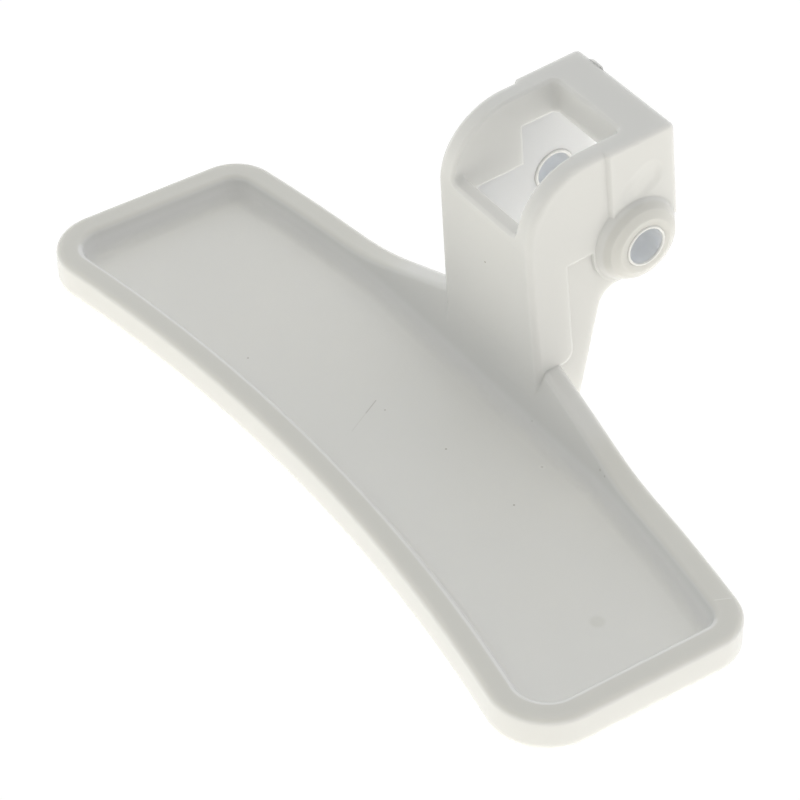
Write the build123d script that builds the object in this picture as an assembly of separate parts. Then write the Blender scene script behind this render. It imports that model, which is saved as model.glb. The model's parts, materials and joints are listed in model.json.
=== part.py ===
from build123d import *
from math import cos, hypot, radians, sin, sqrt, tan
import os

# Lever handle of a front-loading washing machine door: one injection moulding.
# A shallow curved tray is gripped by the fingers, and a hollow lever arm rises
# from the middle of its back edge and carries the pivot pin and the catch.
# X runs along the tray, Y from its concave front edge to the arm, Z is up.
# Millimetres. The part lies on the tray's smooth outer face.

# Tray
tray_length = 112.0
tray_width = 33.4
front_radius = 253.0
front_corner = 7.5
back_corner = 6.2
rim_height = 5.15
floor_thickness = 1.7
rim_foot = 4.3
rim_draft = 15.0
rim_outer_round = 0.8
rim_inner_round = 0.9
floor_round = 1.6
underside_round = 1.4

# Flare of the back rim towards the arm, and the ramp inside it
flare_foot = 26.8
flare_slope = 17.5
flare_radius = 36.0
ramp_foot = 5.3
ramp_draft = 16.0

# Arm, in its own frame: Y from its front face, Z from the rim's top
arm_setback = 29.9
arm_lean = 4.4
arm_width = 20.5
arm_draft = 1.7
arm_height = 33.5
arm_depth = 22.2
nose_radius = 9.7
nose_round = 0.9
front_wall = 2.0
foot_blend = 12.0
heel_depth = 7.0
heel_angle = 16.2
heel_round = 3.0
rear_corner = 0.9
arm_root = 4.0

# Channel between the arm's cheeks, and the window through its upper front corner
cheek_wall = 3.15
channel_width = arm_width - 2 * cheek_wall
channel_step_depth = 10.9
channel_step_drop = 5.9
bridge_thickness = 5.0
window_ledge = 0.55
window_width = channel_width - 2 * window_ledge
window_depth = 16.2
window_corner = 0.9
window_bevel = 0.4
lip_rise = 1.3
lip_height = arm_height - nose_radius + lip_rise

# Pads, recesses, bosses and the pivot bore
pad_start = 12.0
pad_raise = 0.45
pad_foot = 20.0
pad_round = 0.7
recess_start = 5.5
recess_depth = 0.4
recess_height = 19.6
recess_toe = 4.8
recess_corner = 1.8
pivot_depth = 15.8
pivot_height = 18.9
pivot_bore = 5.0
bore_chamfer = 0.25
bore_inner_chamfer = 0.5
boss_rise = 1.65
boss_span = arm_width + 2 * boss_rise
boss_tip_radius = 4.5
boss_chamfer = 0.7

# Sizes that follow from the ones above
arc_centre = -front_radius
back_radius = front_radius + tray_width
boss_base_radius = arm_depth - pivot_depth
bridge_underside = arm_height - bridge_thickness
channel_step_height = bridge_underside - channel_step_drop
channel_floor = floor_thickness - rim_height
margin = 5.0
tall = rim_height + arm_height + margin
rim_gap = 0.3
blend_share = 0.97
tiny = 0.01


def half_width(z):
    """Half of the arm's outer width at a height in the arm's frame."""
    return arm_width / 2 - z * tan(radians(arm_draft))


def outline(inset):
    """The tray's plan, moved inwards by a distance."""
    inner = front_radius + inset
    outer = back_radius - inset
    half = tray_length / 2 - inset
    front_y = arc_centre + sqrt(inner**2 - half**2)
    back_y = arc_centre + sqrt(outer**2 - half**2)
    edges = [
        ThreePointArc((-half, front_y), (0, arc_centre + inner), (half, front_y)),
        Line((half, front_y), (half, back_y)),
        ThreePointArc((half, back_y), (0, arc_centre + outer), (-half, back_y)),
        Line((-half, back_y), (-half, front_y)),
    ]
    face = make_face(edges)
    corners = face.vertices().sort_by(Axis.Y)
    face = fillet(corners[:2], front_corner - inset)
    corners = face.vertices().sort_by(Axis.Y)[-2:]
    return fillet(corners, back_corner - inset)


def inset_of(point):
    """How far a point of the plan lies inside the tray's outer wall."""
    radius = hypot(point.X, point.Y - arc_centre)
    return min(tray_length / 2 - abs(point.X), back_radius - radius, radius - front_radius)


def rim_profile():
    """Front view of the rim's top: level, rising to the arm, and a soft crown inside the arm."""
    slope = radians(flare_slope)
    crown_z = rim_height + flare_foot * tan(slope)
    end = tray_length / 2 + margin
    face = make_face(Polyline(
        (-end, -margin), (end, -margin), (end, rim_height), (flare_foot, rim_height),
        (0, crown_z), (-flare_foot, rim_height), (-end, rim_height), close=True))
    near = lambda x, z: face.vertices().sort_by_distance((x, z, 0))[0]
    face = fillet(near(0, crown_z), (half_width(0) - front_wall) / sin(slope))
    return fillet([near(flare_foot, rim_height), near(-flare_foot, rim_height)], flare_radius)


def pocket():
    """The tray's hollow, with drafted walls and the plane ramp at the arm's foot."""
    rise = tall - floor_thickness
    hollow = extrude(Pos(0, 0, floor_thickness) * outline(rim_foot), rise, taper=-rim_draft)
    foot_y = tray_width - ramp_foot
    top_y = foot_y + rise * tan(radians(ramp_draft))
    section = make_face(Polyline(
        (foot_y, floor_thickness), (top_y, tall), (top_y + tray_width, tall),
        (top_y + tray_width, floor_thickness), close=True))
    ramp = extrude(Plane.YZ * section, tray_length / 2, both=True)
    return hollow - ramp


def tray():
    """The tray with its rounded rim, flared up to the arm."""
    slab = extrude(outline(0), rim_height)
    back_half = Pos(0, tray_width / 2, 0) * Box(
        tray_length, tray_width, tall, align=(Align.CENTER, Align.MIN, Align.MIN))
    flare = extrude(Plane.XZ * rim_profile(), back_radius, both=True) & back_half
    body = slab + (extrude(outline(0), tall) & flare)
    outer = body.edges().filter_by(
        lambda e: e.center().Z > rim_height - tiny and abs(inset_of(e.center())) < tiny)
    body = fillet(outer, rim_outer_round)
    body = fillet(body.edges().group_by(Axis.Z)[0], underside_round)
    body = body - pocket()
    inner = body.edges().filter_by(
        lambda e: e.center().Z > rim_height - tiny and inset_of(e.center()) > rim_outer_round + rim_gap)
    body = fillet(inner, rim_inner_round)
    foot = body.edges().filter_by(
        lambda e: abs(e.center().Z - floor_thickness) < tiny and inset_of(e.center()) > rim_outer_round)
    return fillet(foot, floor_round)


def arm_frame(shape):
    """Place a shape drawn in the arm's own frame."""
    return Pos(0, arm_setback, rim_height) * Rot(arm_lean, 0, 0) * shape


def side_view(face):
    """Extrude a face drawn as (depth, height) past both sides of the arm."""
    return extrude(Plane.YZ * face, arm_width, both=True)


def width_limit(extra):
    """The drafted wedge that limits the arm's width, wider by a distance on each side."""
    low, high = -2 * arm_root, arm_height + margin
    section = make_face(Polyline(
        (-half_width(low) - extra, low), (half_width(low) + extra, low),
        (half_width(high) + extra, high), (-half_width(high) - extra, high), close=True))
    return extrude(Plane.XZ * section, 3 * arm_depth, both=True)


def heel_at(z):
    """Depth of the cheek's slanted rear edge at a height."""
    return heel_depth + z * tan(radians(heel_angle))


def foot_arc():
    """Ends of the arc that brings the arm's upright front softly into the ramp."""
    turn = radians(ramp_draft + arm_lean)
    foot_y = tray_width - ramp_foot + (rim_height - floor_thickness) * tan(radians(ramp_draft))
    rate = tan(radians(ramp_draft)) * cos(radians(arm_lean)) + sin(radians(arm_lean))
    meet = (arm_setback - foot_y) / rate
    reach = blend_share * foot_blend * tan(turn / 2)
    middle_y = sqrt(foot_blend**2 - reach**2) - foot_blend
    low_y = sqrt(foot_blend**2 - 4 * reach**2) - foot_blend
    return (0, meet + reach), (middle_y, meet), (low_y, meet - reach)


def cheek_outline():
    """Side view of the arm: upright front, round nose, and an eye round the pivot."""
    nose_z = arm_height - nose_radius
    step = cos(radians(45)) * nose_radius
    slope = radians(heel_angle)
    along = (pivot_depth - heel_depth) * sin(slope) + pivot_height * cos(slope)
    away = (pivot_depth - heel_depth) * cos(slope) - pivot_height * sin(slope)
    meet = along - sqrt(boss_base_radius**2 - away**2)
    heel_top = (heel_depth + meet * sin(slope), meet * cos(slope))
    foot = foot_arc()
    face = make_face([
        Line((foot[2][0], -arm_root), foot[2]),
        ThreePointArc(foot[2], foot[1], foot[0]),
        Line(foot[0], (0, nose_z)),
        ThreePointArc((0, nose_z), (nose_radius - step, nose_z + step), (nose_radius, arm_height)),
        Line((nose_radius, arm_height), (arm_depth, arm_height)),
        Line((arm_depth, arm_height), (arm_depth, pivot_height)),
        ThreePointArc((arm_depth, pivot_height), (pivot_depth, pivot_height - boss_base_radius), heel_top),
        Line(heel_top, (heel_at(-arm_root), -arm_root)),
        Line((heel_at(-arm_root), -arm_root), (foot[2][0], -arm_root)),
    ])
    near = lambda y, z: face.vertices().sort_by_distance((y, z, 0))[0]
    face = fillet(near(*heel_top), heel_round)
    return fillet(face.vertices().sort_by_distance((arm_depth, arm_height, 0))[0], rear_corner)


def rectangle(y0, y1, z0, z1):
    """A plain rectangle given by its depth and height limits."""
    return Pos((y0 + y1) / 2, (z0 + z1) / 2) * Rectangle(y1 - y0, z1 - z0)


def recess():
    """The lower rear area of each cheek, set back behind the front strip."""
    deep = 2 * arm_depth
    area = rectangle(recess_start, deep, -2 * arm_root, recess_height)
    toe = rectangle(recess_start / 2, deep, -2 * arm_root, recess_toe)
    face = area + toe
    corner = face.vertices().sort_by_distance((recess_start, recess_toe, 0))[0]
    face = fillet(corner, recess_corner)
    face = face - Pos(pivot_depth, pivot_height) * Circle(boss_base_radius)
    return side_view(face) - width_limit(-recess_depth)


def pads():
    """The raised upper rear area of both cheeks, ramped at the front and rounded at the edges."""
    face = cheek_outline() & rectangle(pad_start, 2 * arm_depth, pad_foot, arm_height + margin)
    body = side_view(face) & width_limit(pad_raise)
    side = body.edges().filter_by(lambda e: abs(e.center().X) > half_width(arm_height))
    body = chamfer(side.filter_by(lambda e: abs(e.center().Y - pad_start) < tiny), pad_raise)
    side = body.edges().filter_by(lambda e: abs(e.center().X) > half_width(arm_height))
    top = side.filter_by(lambda e: abs(e.center().Z - arm_height) < tiny)
    return fillet(top, pad_round)


def blank():
    """The arm's outside, still solid."""
    outline_face = cheek_outline()
    body = side_view(outline_face) & width_limit(0)
    upright = body.edges().filter_by(
        lambda e: e.center().Y < tiny and abs(e.center().X) > window_width / 2)
    body = fillet(upright, nose_round)
    body = body + pads() - recess()
    root = half_width(pivot_height) - recess_depth
    boss = Cone(boss_base_radius, boss_tip_radius, boss_span / 2 - root,
                align=(Align.CENTER, Align.CENTER, Align.MIN))
    boss = chamfer(boss.edges().group_by(Axis.Z)[-1], boss_chamfer)
    for hand in (1, -1):
        body = body + Pos(hand * root, pivot_depth, pivot_height) * Rot(0, hand * 90, 0) * boss
    return body


def channel():
    """The hollow between the cheeks, open at the back, with its stepped ceiling."""
    deep = 2 * arm_depth
    low = rectangle(front_wall, deep, channel_floor, channel_step_height)
    high = rectangle(channel_step_depth, deep, channel_floor, bridge_underside)
    return extrude(Plane.YZ * (low + high), channel_width / 2, both=True)


def window():
    """The rectangular window through the front wall and the top."""
    front = rectangle(-margin, window_depth, lip_height, arm_height + margin)
    inside = rectangle(front_wall, window_depth, channel_floor, bridge_underside)
    front = extrude(Plane.YZ * front, window_width / 2, both=True)
    corners = front.edges().filter_by(Axis.Z).sort_by(Axis.Y)[-2:]
    corners += front.edges().filter_by(Axis.Y).sort_by(Axis.Z)[:2]
    front = fillet(corners, window_corner)
    return front + extrude(Plane.YZ * inside, window_width / 2, both=True)


def bore():
    """The pivot pin's hole through both bosses, with a small chamfer at each mouth."""
    tool = Cylinder(pivot_bore / 2, boss_span + margin)
    for hand in (1, -1):
        mouth = Cone(pivot_bore / 2, pivot_bore / 2 + bore_chamfer, bore_chamfer,
                     align=(Align.CENTER, Align.CENTER, Align.MAX))
        inner = Cone(pivot_bore / 2 + bore_inner_chamfer, pivot_bore / 2, bore_inner_chamfer,
                     align=(Align.CENTER, Align.CENTER, Align.MIN))
        ends = Pos(0, 0, boss_span / 2) * mouth + Pos(0, 0, channel_width / 2) * inner
        tool = tool + Rot(90 - hand * 90, 0, 0) * ends
    return Pos(0, pivot_depth, pivot_height) * Rot(0, 90, 0) * tool


def arm():
    """The finished arm, hollow, with the window's outer edge bevelled."""
    body = blank() - channel() - window()
    rim = body.edges().filter_by(on_window_rim)
    return chamfer(rim, window_bevel) - bore()


def on_window_rim(edge):
    """Whether an edge of the arm borders the window on the outside."""
    spot = edge.center()
    if abs(spot.X) > window_width / 2 + tiny or spot.Z < lip_height - tiny:
        return False
    if spot.Y > window_depth + tiny:
        return False
    if spot.Y > nose_radius:
        return abs(spot.Z - arm_height) < tiny
    nose_z = arm_height - nose_radius
    return abs(hypot(spot.Y - nose_radius, spot.Z - nose_z) - nose_radius) < margin * tiny


def handle():
    """The whole moulding."""
    return tray() - arm_frame(channel()) + arm_frame(arm())


part = handle()
part = Pos(0, -part.bounding_box().center().Y, 0) * part

os.makedirs("parts", exist_ok=True)
export_step(part, "parts/door_handle.step")
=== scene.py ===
import json
from math import cos, pi, radians, sin

import bmesh
import bpy
from mathutils import Matrix, Vector

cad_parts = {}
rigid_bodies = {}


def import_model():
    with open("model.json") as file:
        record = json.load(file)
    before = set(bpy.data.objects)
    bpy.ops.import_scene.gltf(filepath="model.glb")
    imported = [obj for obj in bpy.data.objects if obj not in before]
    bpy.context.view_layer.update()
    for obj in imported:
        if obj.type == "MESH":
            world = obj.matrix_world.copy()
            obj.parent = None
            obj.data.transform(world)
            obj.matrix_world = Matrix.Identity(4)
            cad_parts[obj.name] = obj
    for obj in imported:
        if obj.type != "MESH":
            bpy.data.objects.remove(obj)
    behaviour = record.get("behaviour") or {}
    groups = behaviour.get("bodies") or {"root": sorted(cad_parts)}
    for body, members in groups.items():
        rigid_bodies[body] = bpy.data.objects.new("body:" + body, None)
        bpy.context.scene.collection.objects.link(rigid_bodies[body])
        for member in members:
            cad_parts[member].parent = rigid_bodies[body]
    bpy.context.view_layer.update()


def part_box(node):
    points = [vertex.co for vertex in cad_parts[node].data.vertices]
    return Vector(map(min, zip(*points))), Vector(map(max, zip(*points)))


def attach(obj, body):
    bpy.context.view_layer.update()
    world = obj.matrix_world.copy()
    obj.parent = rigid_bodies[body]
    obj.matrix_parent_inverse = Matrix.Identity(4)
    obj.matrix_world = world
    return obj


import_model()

MM = 0.001

# The handle's own places, in metres, from its node's box
HANDLE = "door_handle"
low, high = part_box(HANDLE)
middle_x = (low.x + high.x) / 2

# The pivot bore: its axis runs along X through this place
PIVOT = Vector((0, 21.1791, 25.2065)) * MM
BORE_RADIUS = 2.5 * MM
BOSS_FACE = 11.9 * MM
CHANNEL_SIDE = 7.1 * MM

# Camera, fitted to the photograph
CAMERA_AZIMUTH = radians(56.0)
CAMERA_ELEVATION = radians(40.43)
CAMERA_ROLL = radians(-0.41)
CAMERA_DISTANCE = 405.7 * MM
CAMERA_TARGET = Vector((3.98, -9.88, 10.0)) * MM
CAMERA_LENS = 149.05
CAMERA_SENSOR = 36.0
CAMERA_NEAREST = 10 * MM

# Light from the low sky and the middle sky for each side, and from overhead
LOW_SKY = {
    "right": (0.31, 0.30, 0.28),
    "left": (0.78, 0.81, 0.84),
    "back": (0.76, 0.79, 0.84),
    "front": (0.45, 0.46, 0.43),
}
MIDDLE_SKY = {
    "right": (0.49, 0.50, 0.51),
    "left": (0.83, 0.84, 0.845),
    "back": (0.82, 0.815, 0.80),
    "front": (0.50, 0.50, 0.475),
}
OVERHEAD = (0.84, 0.83, 0.78)
# How high the low sky gives way to the middle one, and that one to the sky overhead
LOW_TO_MIDDLE = (0.36, 0.48)
MIDDLE_TO_OVERHEAD = (0.76, 0.88)
# The sky as the eye and the gloss see it
BACKDROP = (0.8, 0.8, 0.8)

# The table: half its side, how far it lies under the handle, and its colour and glow,
# first for the light that it gives and then as it is seen
TABLE_HALF_SIDE = 1.5
TABLE_DROP = 0.1 * MM
TABLE_MATT = (0.9, 0.9, 0.9)
TABLE_GLOW = (0.98, 0.94, 0.84)
TABLE_SEEN_MATT = (0.25, 0.25, 0.25)
TABLE_SEEN_GLOW = (0.84, 0.84, 0.84)

# Plastic: its tint and the cloud in it, how far light passes into it, and its skin
PLASTIC = (0.80, 0.80, 0.79)
PLASTIC_CLOUD = (0.795, 0.797, 0.790)
PLASTIC_SOFTNESS = 1.1 * MM
PLASTIC_IOR = 1.5
CLOUD_SCALE = 25.0
CLOUD_RANGE = (0.35, 0.65)
GRAIN_SCALE = 2600.0
POLISH_FINENESS = 4.0
POLISH_RANGE = (0.3, 0.7)
SKIN_ROUGHNESS = (0.24, 0.27)
EDGE_ROUND = 0.35 * MM
EDGE_SAMPLES = 6
# Strength and depth of each bump
GRAIN_BUMP = (0.25, 0.004 * MM)
DENT_BUMP = (0.6, 0.04 * MM)
SINK_BUMP = (1.0, 0.3 * MM)

# Painted shade: the rim's top and the bosses darker and more olive, where less light falls on them
RIM_PAINTED_SHADE = (0.772, 0.768, 0.740)
BOSS_PAINTED_SHADE = (0.745, 0.742, 0.720)
# The tray's inner walls: painted light that lifts their shade, with a painted highlight along their top
# edge
WALL_PAINTED_LIGHT = (0.86, 0.86, 0.855)
TRAY_MIDDLE = Vector((0, -5.0, 0)) * MM
# Painted light on the channel's inner walls, whiter and bluer as if lit through the open back, and
# painted bluish shade on the bore's wall
CHANNEL_PAINTED_LIGHT = (0.81, 0.818, 0.835)
BORE_SHADE = (0.80, 0.82, 0.85)
# Each tint's limits: where it starts and where it is full, and in the names that end in TO
# where it starts to go and where it has gone. They are heights, ways that a face looks,
# distances from the bore's axis and along it, and distances from the channel's side.
RIM_FROM = (3.6 * MM, 4.9 * MM)
RIM_TO = (6.0 * MM, 8.0 * MM)
RIM_UPWARD = (0.45, 0.85)
WALL_FROM = (1.75 * MM, 2.9 * MM)
WALL_TO = (3.3 * MM, 4.5 * MM)
WALL_EDGE_TO = (5.4 * MM, 5.9 * MM)
WALL_INWARD_TO = (-3.0 * MM, -0.6 * MM)
WALL_BACKWARD = (0.02, 0.2)
CHANNEL_FROM = (6.0 * MM, 12.0 * MM)
CHANNEL_SIDEWAYS = (0.7, 0.9)
CHANNEL_SIDE_TO = (0.15 * MM, 0.3 * MM)
BOSS_ALONG_FROM = (10.25 * MM, 10.7 * MM)
BOSS_AWAY_TO = (5.5 * MM, 6.0 * MM)
BORE_ALONG_FROM = (CHANNEL_SIDE, CHANNEL_SIDE + 0.8 * MM)
BORE_AWAY_TO = (BORE_RADIUS * 1.01, BORE_RADIUS * 1.06)

# Marks that use and moulding have left, in millimetres. The share of a mark's radius in
# which it is at full strength:
SPOT_CORE = 0.45
LINE_CORE = 0.3
# Specks: place, radius and strength of each
SPECKS = (
    ((-0.04, 5.58, 21.97), 0.19, 0.80),
    ((-22.05, -15.80, 1.70), 0.16, 0.60),
    ((-3.57, -7.08, 1.70), 0.17, 0.45),
    ((6.90, -5.01, 1.70), 0.19, 0.55),
    ((20.09, -4.11, 1.70), 0.19, 0.55),
    ((10.38, 5.61, 3.55), 0.15, 0.35),
    ((23.89, 5.97, 5.09), 0.26, 0.30),
    ((25.00, 5.82, 4.95), 0.20, 0.35),
    ((16.39, 2.81, 1.70), 0.22, 0.30),
)
SPECK_COLOUR = (0.16, 0.14, 0.11)
SPECK_ROUGHNESS = 0.3
# A dark hair scratch in two runs: the ends, radius and strength of each
SCRATCH = (
    ((-2.57, -12.73, 1.70), (-4.44, -9.37, 1.70), 0.10, 0.16),
    ((-4.44, -9.37, 1.70), (-5.75, -7.00, 1.70), 0.12, 0.36),
)
# A pale nick across the rim's corner, given in the same way
NICK = (
    ((49.38, 2.20, 3.49), (49.75, 3.20, 5.15), 0.13, 0.40),
    ((49.75, 3.20, 5.15), (50.56, 5.00, 5.15), 0.13, 0.50),
)
NICK_COLOUR = (0.93, 0.93, 0.92)
# The ejector pin's faint round mark on the tray's floor
EJECTOR_PLACE = (42.13, -8.02, 1.70)
EJECTOR_RADIUS = 1.25
EJECTOR_COLOUR = (0.70, 0.70, 0.67)
EJECTOR_SHARE = 0.5
EJECTOR_DEPTH = 0.8
# A small blister in the floor, which shows as a paler ring
BLISTER_PLACE = (16.39, 2.81, 1.70)
BLISTER_RADIUS = 0.55
BLISTER_HOLLOW = 0.75 * BLISTER_RADIUS
BLISTER_COLOUR = (0.90, 0.90, 0.88)
BLISTER_SHARE = 0.6
# A slanting sink mark in the cheek above the right boss: its ends, radius and strength
SINK_RUN = ((10.0, 20.6, 32.6), (10.0, 22.7, 34.0), 2.4, 1.0)

# The bead round each bore's mouth, on the bosses and inside the channel
BEAD_RADIUS = 0.17 * MM
CHANNEL_BEAD_RADIUS = 0.23 * MM
BEAD_OUTWARD = 0.9
BEAD_SIDES = 10
BEAD_STEPS = 72
# The bead's colour is paler than the plastic: a painted highlight on a real raised bead
BEAD_PAINTED_HIGHLIGHT = (0.93, 0.93, 0.92, 1.0)
BEAD_GRAIN_SCALE = 1800.0
BEAD_ROUGHNESS = (0.18, 0.34)
# The torn stub of the gate on the arm's top rear edge
GATE_PLACE = Vector((-5.7, 26.22, 39.98)) * MM
GATE_SIZE = Vector((1.35, 0.32, 0.26)) * MM
GATE_ROUGHNESS = 0.16


def nodes_of(material):
    """A material's node tree, emptied, with its output."""
    material.use_nodes = True
    tree = material.node_tree
    tree.nodes.clear()
    return tree, tree.nodes.new("ShaderNodeOutputMaterial")


def feed(tree, socket, value):
    """Join a socket to another one, or set its number, place or colour."""
    if isinstance(value, bpy.types.NodeSocket):
        tree.links.new(value, socket)
    elif isinstance(value, tuple) and len(value) == 3 and len(socket.default_value) == 4:
        socket.default_value = (*value, 1.0)
    else:
        socket.default_value = value


def maths(tree, operation, *values):
    """The result of one Math node."""
    node = tree.nodes.new("ShaderNodeMath")
    node.operation = operation
    for socket, value in zip(node.inputs, values):
        feed(tree, socket, value)
    return node.outputs["Value"]


def vector_maths(tree, operation, *values):
    """The vector and the number that one Vector Math node gives."""
    node = tree.nodes.new("ShaderNodeVectorMath")
    node.operation = operation
    for socket, value in zip(node.inputs, values):
        feed(tree, socket, value)
    return node.outputs[0], node.outputs[1]


def parts_of(tree, vector):
    """The X, Y and Z of a place or a normal."""
    node = tree.nodes.new("ShaderNodeSeparateXYZ")
    tree.links.new(vector, node.inputs["Vector"])
    return [node.outputs[axis] for axis in "XYZ"]


def mix_colour(tree, share, first, second):
    """Go from the first colour to the second by a share."""
    node = tree.nodes.new("ShaderNodeMix")
    node.data_type = "RGBA"
    feed(tree, node.inputs[0], share)
    feed(tree, node.inputs[6], first)
    feed(tree, node.inputs[7], second)
    return node.outputs[2]


def ramp(tree, value, start, end, low_value=0.0, high_value=1.0):
    """A smooth step between two values."""
    node = tree.nodes.new("ShaderNodeMapRange")
    node.interpolation_type = "SMOOTHSTEP"
    feed(tree, node.inputs["Value"], value)
    feed(tree, node.inputs["From Min"], start)
    feed(tree, node.inputs["From Max"], end)
    node.inputs["To Min"].default_value = low_value
    node.inputs["To Max"].default_value = high_value
    return node.outputs["Result"]


def fall(tree, value, start, end):
    """A smooth step down from one to nought."""
    return ramp(tree, value, start, end, 1.0, 0.0)


def product(tree, first, *others):
    """Several masks multiplied together."""
    for mask in others:
        first = maths(tree, "MULTIPLY", first, mask)
    return first


def strongest(tree, masks):
    """The strongest of several masks at each point."""
    top = masks[0]
    for mask in masks[1:]:
        top = maths(tree, "MAXIMUM", top, mask)
    return top


def noise(tree, vector, scale, detail=2.0, roughness=0.5):
    """A noise texture's value."""
    node = tree.nodes.new("ShaderNodeTexNoise")
    feed(tree, node.inputs["Vector"], vector)
    feed(tree, node.inputs["Scale"], scale)
    node.inputs["Detail"].default_value = detail
    node.inputs["Roughness"].default_value = roughness
    return node.outputs["Fac"]


def spread(tree, value, limits):
    """Bring a value from nought to one between two limits."""
    node = tree.nodes.new("ShaderNodeMapRange")
    feed(tree, node.inputs["Value"], value)
    node.inputs["To Min"].default_value = limits[0]
    node.inputs["To Max"].default_value = limits[1]
    return node.outputs["Result"]


def new_group(name, inputs, outputs):
    """An empty node group with named inputs and outputs."""
    group = bpy.data.node_groups.new(name, "ShaderNodeTree")
    for label, kind in inputs:
        group.interface.new_socket(label, in_out="INPUT", socket_type=kind)
    for label, kind in outputs:
        group.interface.new_socket(label, in_out="OUTPUT", socket_type=kind)
    return group, group.nodes.new("NodeGroupInput").outputs, group.nodes.new("NodeGroupOutput").inputs


def place_group(tree, group, values):
    """Put a group into a material with its own values."""
    node = tree.nodes.new("ShaderNodeGroup")
    node.node_tree = group
    for label, value in values.items():
        feed(tree, node.inputs[label], value)
    return node.outputs


def spot_group():
    """A soft round mark about a place."""
    group, given, result = new_group(
        "soft spot",
        (("Vector", "NodeSocketVector"), ("Place", "NodeSocketVector"), ("Radius", "NodeSocketFloat")),
        (("Mask", "NodeSocketFloat"),))
    away = vector_maths(group, "DISTANCE", given["Vector"], given["Place"])[1]
    inner = maths(group, "MULTIPLY", given["Radius"], SPOT_CORE)
    group.links.new(fall(group, away, inner, given["Radius"]), result["Mask"])
    return group


def line_group():
    """A thin mark along a straight run between two places."""
    group, given, result = new_group(
        "thin line",
        (("Vector", "NodeSocketVector"), ("Start", "NodeSocketVector"), ("End", "NodeSocketVector"),
         ("Radius", "NodeSocketFloat")),
        (("Mask", "NodeSocketFloat"),))
    run = vector_maths(group, "SUBTRACT", given["End"], given["Start"])[0]
    off = vector_maths(group, "SUBTRACT", given["Vector"], given["Start"])[0]
    along = maths(group, "DIVIDE", vector_maths(group, "DOT_PRODUCT", off, run)[1],
                  vector_maths(group, "DOT_PRODUCT", run, run)[1])
    held = maths(group, "MINIMUM", maths(group, "MAXIMUM", along, 0.0), 1.0)
    scale = group.nodes.new("ShaderNodeVectorMath")
    scale.operation = "SCALE"
    group.links.new(run, scale.inputs[0])
    group.links.new(held, scale.inputs["Scale"])
    foot = vector_maths(group, "ADD", given["Start"], scale.outputs[0])[0]
    away = vector_maths(group, "DISTANCE", given["Vector"], foot)[1]
    inner = maths(group, "MULTIPLY", given["Radius"], LINE_CORE)
    group.links.new(fall(group, away, inner, given["Radius"]), result["Mask"])
    return group


def skin_group():
    """Moulded skin: a cloud for its tint, a roughness, and the height of its fine grain."""
    group, given, result = new_group(
        "moulded skin",
        (("Vector", "NodeSocketVector"), ("Cloud Scale", "NodeSocketFloat"),
         ("Grain Scale", "NodeSocketFloat")),
        (("Cloud", "NodeSocketFloat"), ("Polish", "NodeSocketFloat"), ("Height", "NodeSocketFloat")))
    cloud = noise(group, given["Vector"], given["Cloud Scale"])
    group.links.new(ramp(group, cloud, *CLOUD_RANGE), result["Cloud"])
    polish_scale = maths(group, "MULTIPLY", given["Cloud Scale"], POLISH_FINENESS)
    polish = noise(group, given["Vector"], polish_scale, detail=1.0)
    group.links.new(ramp(group, polish, *POLISH_RANGE), result["Polish"])
    grain = noise(group, given["Vector"], given["Grain Scale"], detail=3.0, roughness=0.6)
    group.links.new(grain, result["Height"])
    return group


def mask_group(name, *vectors):
    """A node group that takes some vectors and puts out one mask."""
    inputs = tuple((label, "NodeSocketVector") for label in vectors)
    group, given, result = new_group(name, inputs, (("Mask", "NodeSocketFloat"),))
    return group, given, result["Mask"]


def about_axis(tree, vector, centre):
    """How far a place is from the pivot's axis, and how far along it from the middle."""
    off = vector_maths(tree, "SUBTRACT", vector, centre)[0]
    away = vector_maths(tree, "LENGTH", vector_maths(tree, "MULTIPLY", off, (0.0, 1.0, 1.0))[0])[1]
    return away, maths(tree, "ABSOLUTE", parts_of(tree, off)[0])


def bore_group():
    """A mask of the pivot bore's wall."""
    group, given, mask = mask_group("bore wall", "Vector", "Centre")
    away, across = about_axis(group, given["Vector"], given["Centre"])
    near = fall(group, away, *BORE_AWAY_TO)
    deep = ramp(group, across, *BORE_ALONG_FROM)
    group.links.new(product(group, near, deep), mask)
    return group


def boss_group():
    """A mask of the two bosses, outside the cheeks."""
    group, given, mask = mask_group("boss", "Vector", "Centre")
    away, across = about_axis(group, given["Vector"], given["Centre"])
    out = ramp(group, across, *BOSS_ALONG_FROM)
    near = fall(group, away, *BOSS_AWAY_TO)
    group.links.new(product(group, out, near), mask)
    return group


def rim_shade_group():
    """A mask of the top of the tray's rim."""
    group, given, mask = mask_group("rim top", "Vector", "Normal")
    height = parts_of(group, given["Vector"])[2]
    facing_up = parts_of(group, given["Normal"])[2]
    above = ramp(group, height, *RIM_FROM)
    below = fall(group, height, *RIM_TO)
    level = ramp(group, facing_up, *RIM_UPWARD)
    group.links.new(product(group, above, below, level), mask)
    return group


def inner_wall_group():
    """A mask of the tray's inner walls, and of their top edge where that looks to the back or left."""
    group, given, mask = mask_group("inner wall", "Vector", "Normal")
    off = vector_maths(group, "SUBTRACT", given["Vector"], tuple(TRAY_MIDDLE))[0]
    level_off = vector_maths(group, "MULTIPLY", off, (1.0, 1.0, 0.0))[0]
    outward = vector_maths(group, "DOT_PRODUCT", level_off, given["Normal"])[1]
    inward = fall(group, outward, *WALL_INWARD_TO)
    height = parts_of(group, given["Vector"])[2]
    facing_right, facing_back, _ = parts_of(group, given["Normal"])
    above = ramp(group, height, *WALL_FROM)
    wall = product(group, above, fall(group, height, *WALL_TO))
    away = ramp(group, maths(group, "SUBTRACT", facing_back, facing_right), *WALL_BACKWARD)
    edge = product(group, above, fall(group, height, *WALL_EDGE_TO), away)
    group.links.new(product(group, maths(group, "MAXIMUM", wall, edge), inward), mask)
    return group


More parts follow.
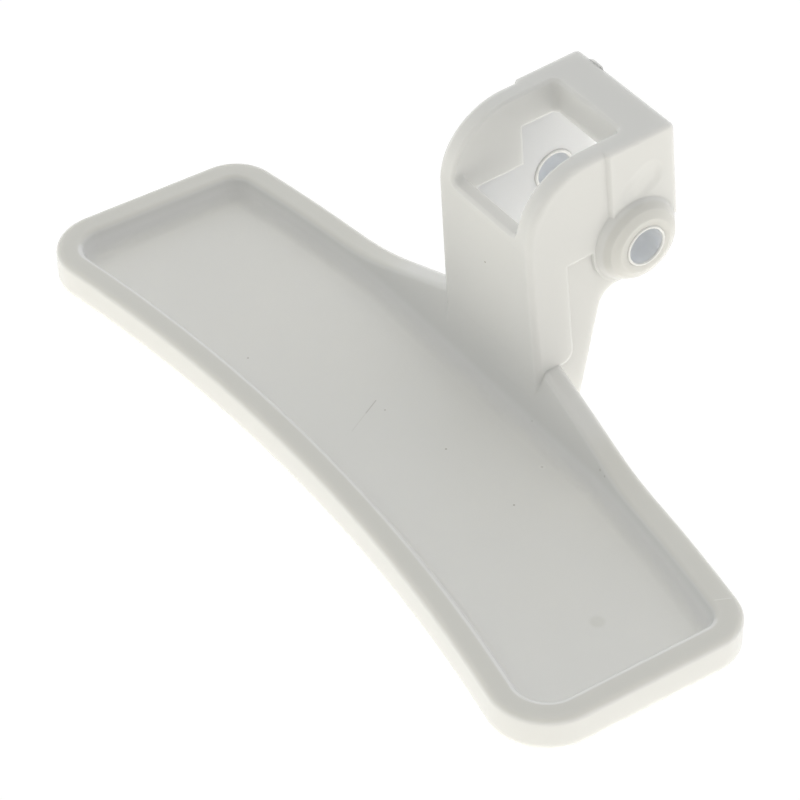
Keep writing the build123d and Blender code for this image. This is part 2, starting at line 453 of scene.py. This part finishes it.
def channel_group():
    """A mask of the two inner walls of the arm's channel."""
    group, given, mask = mask_group("channel wall", "Vector", "Normal")
    across, _, height = parts_of(group, given["Vector"])
    from_middle = maths(group, "ABSOLUTE", across)
    off = maths(group, "ABSOLUTE", maths(group, "SUBTRACT", from_middle, CHANNEL_SIDE))
    close = fall(group, off, *CHANNEL_SIDE_TO)
    facing_side = maths(group, "ABSOLUTE", parts_of(group, given["Normal"])[0])
    sideways = ramp(group, facing_side, *CHANNEL_SIDEWAYS)
    above = ramp(group, height, *CHANNEL_FROM)
    group.links.new(product(group, close, sideways, above), mask)
    return group


def camera():
    """The camera at the photograph's angle, looking at the handle."""
    back = Vector((
        sin(CAMERA_AZIMUTH) * cos(CAMERA_ELEVATION),
        -cos(CAMERA_AZIMUTH) * cos(CAMERA_ELEVATION),
        sin(CAMERA_ELEVATION),
    ))
    level = Vector((0, 0, 1)).cross(back).normalized()
    upright = back.cross(level)
    right = level * cos(CAMERA_ROLL) + upright * sin(CAMERA_ROLL)
    up = back.cross(right)
    data = bpy.data.cameras.new("camera")
    data.lens = CAMERA_LENS
    data.sensor_width = CAMERA_SENSOR
    data.clip_start = CAMERA_NEAREST
    eye = bpy.data.objects.new("camera", data)
    bpy.context.scene.collection.objects.link(eye)
    place = Matrix((right, up, back)).transposed().to_4x4()
    place.translation = CAMERA_TARGET + back * CAMERA_DISTANCE
    eye.matrix_world = place
    bpy.context.scene.camera = eye


def bump(tree, height, normal, strength, distance):
    """A bump node laid over a normal."""
    node = tree.nodes.new("ShaderNodeBump")
    node.inputs["Strength"].default_value = strength
    node.inputs["Distance"].default_value = distance
    feed(tree, node.inputs["Height"], height)
    feed(tree, node.inputs["Normal"], normal)
    return node


def plastic():
    """White moulded plastic, slightly cloudy and satin, with the marks of handling and with painted shade
    and painted light in places.
    """
    material = bpy.data.materials.new("white_moulded_plastic")
    tree, out = nodes_of(material)
    given = tree.nodes.new("ShaderNodeTexCoord")
    place = given.outputs["Object"]
    stand = {"Vector": place, "Normal": given.outputs["Normal"]}
    shader = tree.nodes.new("ShaderNodeBsdfPrincipled")
    shader.inputs["IOR"].default_value = PLASTIC_IOR
    shader.inputs["Subsurface Weight"].default_value = 1.0
    shader.inputs["Subsurface Radius"].default_value = (1.0, 1.0, 1.0)
    shader.inputs["Subsurface Scale"].default_value = PLASTIC_SOFTNESS

    spot, line = spot_group(), line_group()
    scales = {"Vector": place, "Cloud Scale": CLOUD_SCALE, "Grain Scale": GRAIN_SCALE}
    skin = place_group(tree, skin_group(), scales)

    def spot_mask(centre, radius, strength):
        values = {"Vector": place, "Place": tuple(v * MM for v in centre), "Radius": radius * MM}
        return maths(tree, "MULTIPLY", place_group(tree, spot, values)["Mask"], strength)

    def line_mask(start, end, radius, strength):
        values = {"Vector": place, "Start": tuple(v * MM for v in start),
                  "End": tuple(v * MM for v in end), "Radius": radius * MM}
        return maths(tree, "MULTIPLY", place_group(tree, line, values)["Mask"], strength)

    dirt = strongest(tree, [spot_mask(*speck) for speck in SPECKS] + [line_mask(*run) for run in SCRATCH])
    nick = strongest(tree, [line_mask(*run) for run in NICK])
    ejector = spot_mask(EJECTOR_PLACE, EJECTOR_RADIUS, 1.0)
    blister = maths(tree, "SUBTRACT", spot_mask(BLISTER_PLACE, BLISTER_RADIUS, 1.0),
                    spot_mask(BLISTER_PLACE, BLISTER_HOLLOW, 1.0))

    tint = mix_colour(tree, skin["Cloud"], PLASTIC, PLASTIC_CLOUD)
    about_pivot = {"Vector": place, "Centre": tuple(PIVOT)}
    # Painted shade on the rim's top and the bosses, painted light on the inner walls and the channel,
    # painted bluish shade in the bore
    for group, values, colour in (
        (rim_shade_group(), stand, RIM_PAINTED_SHADE),
        (inner_wall_group(), stand, WALL_PAINTED_LIGHT),
        (channel_group(), stand, CHANNEL_PAINTED_LIGHT),
        (boss_group(), about_pivot, BOSS_PAINTED_SHADE),
        (bore_group(), about_pivot, BORE_SHADE),
    ):
        tint = mix_colour(tree, place_group(tree, group, values)["Mask"], tint, colour)
    tint = mix_colour(tree, maths(tree, "MULTIPLY", ejector, EJECTOR_SHARE), tint, EJECTOR_COLOUR)
    tint = mix_colour(tree, maths(tree, "MULTIPLY", blister, BLISTER_SHARE), tint, BLISTER_COLOUR)
    tint = mix_colour(tree, nick, tint, NICK_COLOUR)
    tint = mix_colour(tree, dirt, tint, SPECK_COLOUR)
    feed(tree, shader.inputs["Base Color"], tint)

    gloss = spread(tree, skin["Polish"], SKIN_ROUGHNESS)
    dirty = maths(tree, "MULTIPLY", dirt, SPECK_ROUGHNESS)
    feed(tree, shader.inputs["Roughness"], maths(tree, "ADD", gloss, dirty))

    edges = tree.nodes.new("ShaderNodeBevel")
    edges.samples = EDGE_SAMPLES
    edges.inputs["Radius"].default_value = EDGE_ROUND
    grain = bump(tree, skin["Height"], edges.outputs["Normal"], *GRAIN_BUMP)
    raised = maths(tree, "ADD", blister, nick)
    height = maths(tree, "SUBTRACT", raised, maths(tree, "MULTIPLY", ejector, EJECTOR_DEPTH))
    dents = bump(tree, height, grain.outputs["Normal"], *DENT_BUMP)
    sink = bump(tree, line_mask(*SINK_RUN), dents.outputs["Normal"], *SINK_BUMP)
    sink.invert = True
    feed(tree, shader.inputs["Normal"], sink.outputs["Normal"])
    tree.links.new(shader.outputs["BSDF"], out.inputs["Surface"])
    return material


def bead_highlight_finish():
    """The thin bead's smoother skin, its colour paler than the plastic as a painted highlight."""
    material = bpy.data.materials.new("bead_plastic_painted_highlight")
    tree, out = nodes_of(material)
    shader = tree.nodes.new("ShaderNodeBsdfPrincipled")
    shader.inputs["IOR"].default_value = PLASTIC_IOR
    shader.inputs["Base Color"].default_value = BEAD_PAINTED_HIGHLIGHT
    place = tree.nodes.new("ShaderNodeTexCoord").outputs["Object"]
    polish = spread(tree, noise(tree, place, BEAD_GRAIN_SCALE), BEAD_ROUGHNESS)
    feed(tree, shader.inputs["Roughness"], polish)
    tree.links.new(shader.outputs["BSDF"], out.inputs["Surface"])
    return material


def add_piece(name, shape, material):
    """Make a piece of the handle from a finished bmesh."""
    bmesh.ops.recalc_face_normals(shape, faces=shape.faces)
    mesh = bpy.data.meshes.new(name)
    for face in shape.faces:
        face.smooth = True
    shape.to_mesh(mesh)
    shape.free()
    mesh.materials.append(material)
    piece = bpy.data.objects.new(name, mesh)
    bpy.context.scene.collection.objects.link(piece)
    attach(piece, "root")


def bore_bead(name, reach, radius, material):
    """The fine raised bead round one mouth of the pivot bore, at its own reach along X."""
    shape = bmesh.new()
    ring = bmesh.ops.create_circle(shape, segments=BEAD_SIDES, radius=radius)["verts"]
    bmesh.ops.rotate(shape, verts=ring, cent=(0, 0, 0), matrix=Matrix.Rotation(pi / 2, 3, "X"))
    above = BORE_RADIUS + radius * BEAD_OUTWARD
    bmesh.ops.translate(shape, verts=ring, vec=PIVOT + Vector((reach, 0, above)))
    bmesh.ops.spin(
        shape, geom=shape.verts[:] + shape.edges[:], cent=PIVOT, axis=(1, 0, 0),
        angle=2 * pi, steps=BEAD_STEPS, use_merge=True)
    add_piece(name, shape, material)


def gate_stub(material):
    """The torn stub that the moulding gate left on the arm's top rear edge."""
    shape = bmesh.new()
    bmesh.ops.create_uvsphere(shape, u_segments=20, v_segments=10, radius=1.0)
    for point in shape.verts:
        x, y, z = point.co
        point.co *= 1 + GATE_ROUGHNESS * sin(5.1 * x + 2.3 * z) * cos(4.3 * y - 1.7 * x)
    bmesh.ops.scale(shape, verts=shape.verts, vec=GATE_SIZE)
    bmesh.ops.translate(shape, verts=shape.verts, vec=GATE_PLACE)
    add_piece("gate_stub", shape, material)


def seen_directly(tree):
    """One for the rays that carry the background: from the eye, in gloss and through glass."""
    rays = tree.nodes.new("ShaderNodeLightPath")
    gloss = maths(tree, "MAXIMUM", rays.outputs["Is Glossy Ray"], rays.outputs["Is Transmission Ray"])
    return maths(tree, "MAXIMUM", rays.outputs["Is Camera Ray"], gloss)


def matt_glow(tree, colour, glow):
    """A matt surface that also glows."""
    diffuse = tree.nodes.new("ShaderNodeBsdfDiffuse")
    feed(tree, diffuse.inputs["Color"], colour)
    emission = tree.nodes.new("ShaderNodeEmission")
    feed(tree, emission.inputs["Color"], glow)
    both = tree.nodes.new("ShaderNodeAddShader")
    tree.links.new(diffuse.outputs["BSDF"], both.inputs[0])
    tree.links.new(emission.outputs["Emission"], both.inputs[1])
    return both.outputs["Shader"]


def table():
    """A pale table that lights the handle from below, white to the eye but for a soft shadow."""
    mesh = bpy.data.meshes.new("table")
    shape = bmesh.new()
    bmesh.ops.create_grid(shape, x_segments=1, y_segments=1, size=TABLE_HALF_SIDE)
    bmesh.ops.translate(shape, verts=shape.verts, vec=(middle_x, 0, low.z - TABLE_DROP))
    shape.to_mesh(mesh)
    shape.free()
    board = bpy.data.objects.new("table", mesh)
    bpy.context.scene.collection.objects.link(board)
    material = bpy.data.materials.new("pale_table")
    tree, out = nodes_of(material)
    pick = tree.nodes.new("ShaderNodeMixShader")
    feed(tree, pick.inputs["Fac"], seen_directly(tree))
    tree.links.new(matt_glow(tree, TABLE_MATT, TABLE_GLOW), pick.inputs[1])
    tree.links.new(matt_glow(tree, TABLE_SEEN_MATT, TABLE_SEEN_GLOW), pick.inputs[2])
    tree.links.new(pick.outputs["Shader"], out.inputs["Surface"])
    mesh.materials.append(material)


def sky():
    """Soft light that differs by side and height, with an even pale backdrop for the eye."""
    world = bpy.data.worlds.new("studio")
    bpy.context.scene.world = world
    world.use_nodes = True
    tree = world.node_tree
    tree.nodes.clear()
    out = tree.nodes.new("ShaderNodeOutputWorld")
    across, along, level = parts_of(tree, tree.nodes.new("ShaderNodeTexCoord").outputs["Generated"])
    is_right = maths(tree, "GREATER_THAN", across, 0.0)
    is_back = maths(tree, "GREATER_THAN", along, 0.0)
    across_square = maths(tree, "MULTIPLY", across, across)
    along_square = maths(tree, "MULTIPLY", along, along)
    # The last number keeps the sum above nought straight overhead
    flat = maths(tree, "ADD", maths(tree, "ADD", across_square, along_square), 1e-6)
    across_share = maths(tree, "DIVIDE", across_square, flat)

    def ring(colours):
        sides = mix_colour(tree, is_right, colours["left"], colours["right"])
        ends = mix_colour(tree, is_back, colours["front"], colours["back"])
        return mix_colour(tree, across_share, ends, sides)

    lower = mix_colour(tree, ramp(tree, level, *LOW_TO_MIDDLE), ring(LOW_SKY), ring(MIDDLE_SKY))
    colour = mix_colour(tree, ramp(tree, level, *MIDDLE_TO_OVERHEAD), lower, OVERHEAD)
    light = tree.nodes.new("ShaderNodeBackground")
    feed(tree, light.inputs["Color"], colour)
    backdrop = tree.nodes.new("ShaderNodeBackground")
    feed(tree, backdrop.inputs["Color"], BACKDROP)
    pick = tree.nodes.new("ShaderNodeMixShader")
    feed(tree, pick.inputs["Fac"], seen_directly(tree))
    tree.links.new(light.outputs["Background"], pick.inputs[1])
    tree.links.new(backdrop.outputs["Background"], pick.inputs[2])
    tree.links.new(pick.outputs["Shader"], out.inputs["Surface"])


def dress(material):
    """Give the moulding its finish."""
    for item in bpy.context.scene.objects:
        if item.type == "MESH" and item.name == HANDLE:
            for place in item.material_slots:
                place.material = material


camera()
sky()
table()
skin = plastic()
dress(skin)
bead = bead_highlight_finish()
bore_bead("bore_bead_right", BOSS_FACE, BEAD_RADIUS, bead)
bore_bead("bore_bead_left", -BOSS_FACE, BEAD_RADIUS, bead)
bore_bead("channel_bead_right", CHANNEL_SIDE, CHANNEL_BEAD_RADIUS, bead)
bore_bead("channel_bead_left", -CHANNEL_SIDE, CHANNEL_BEAD_RADIUS, bead)
gate_stub(skin)
bpy.context.scene.view_settings.view_transform = "Standard"
